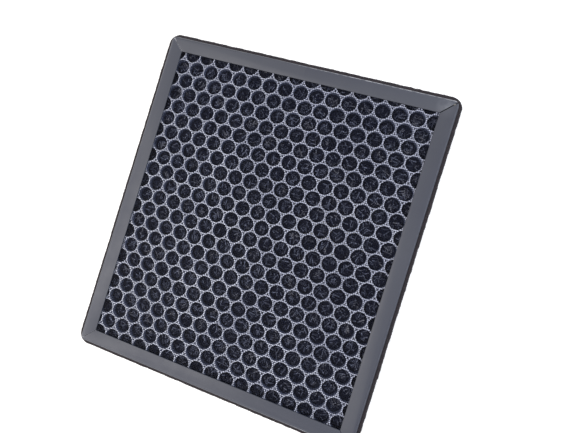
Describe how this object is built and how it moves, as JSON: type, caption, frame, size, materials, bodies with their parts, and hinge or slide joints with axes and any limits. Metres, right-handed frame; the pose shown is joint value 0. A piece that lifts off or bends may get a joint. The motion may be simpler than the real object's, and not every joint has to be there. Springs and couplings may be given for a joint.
{
  "type": "carbon filter panel",
  "caption": "Flat framed air filter panel: a tube honeycomb holding carbon pellets between nets, in a folded grey strip with a felt edge seal.",
  "frame": {"origin": "middle of the panel and its seal, on the surface that its back lies on", "axes": "+Z out of the front face, +Y along the longer side, +X across"},
  "size_m": [0.1868, 0.2142, 0.012],
  "materials": {
    "frame_sheet": "satin grey sheet with a fine grain",
    "tube_plastic": "pale grey plastic tube with sawn ends",
    "carbon": "charcoal pellets, dull with a faint sheen",
    "net_thread": "fine plastic thread",
    "adhesive": "set adhesive",
    "felt": "dark wool felt, fuzzy"
  },
  "bodies": {
    "root": {"frame_strip": "frame_sheet", "honeycomb_core": "tube_plastic", "front_net": "net_thread", "rear_net": "net_thread", "edge_bead": "adhesive", "edge_seal": "felt"}
  },
  "joints": []
}
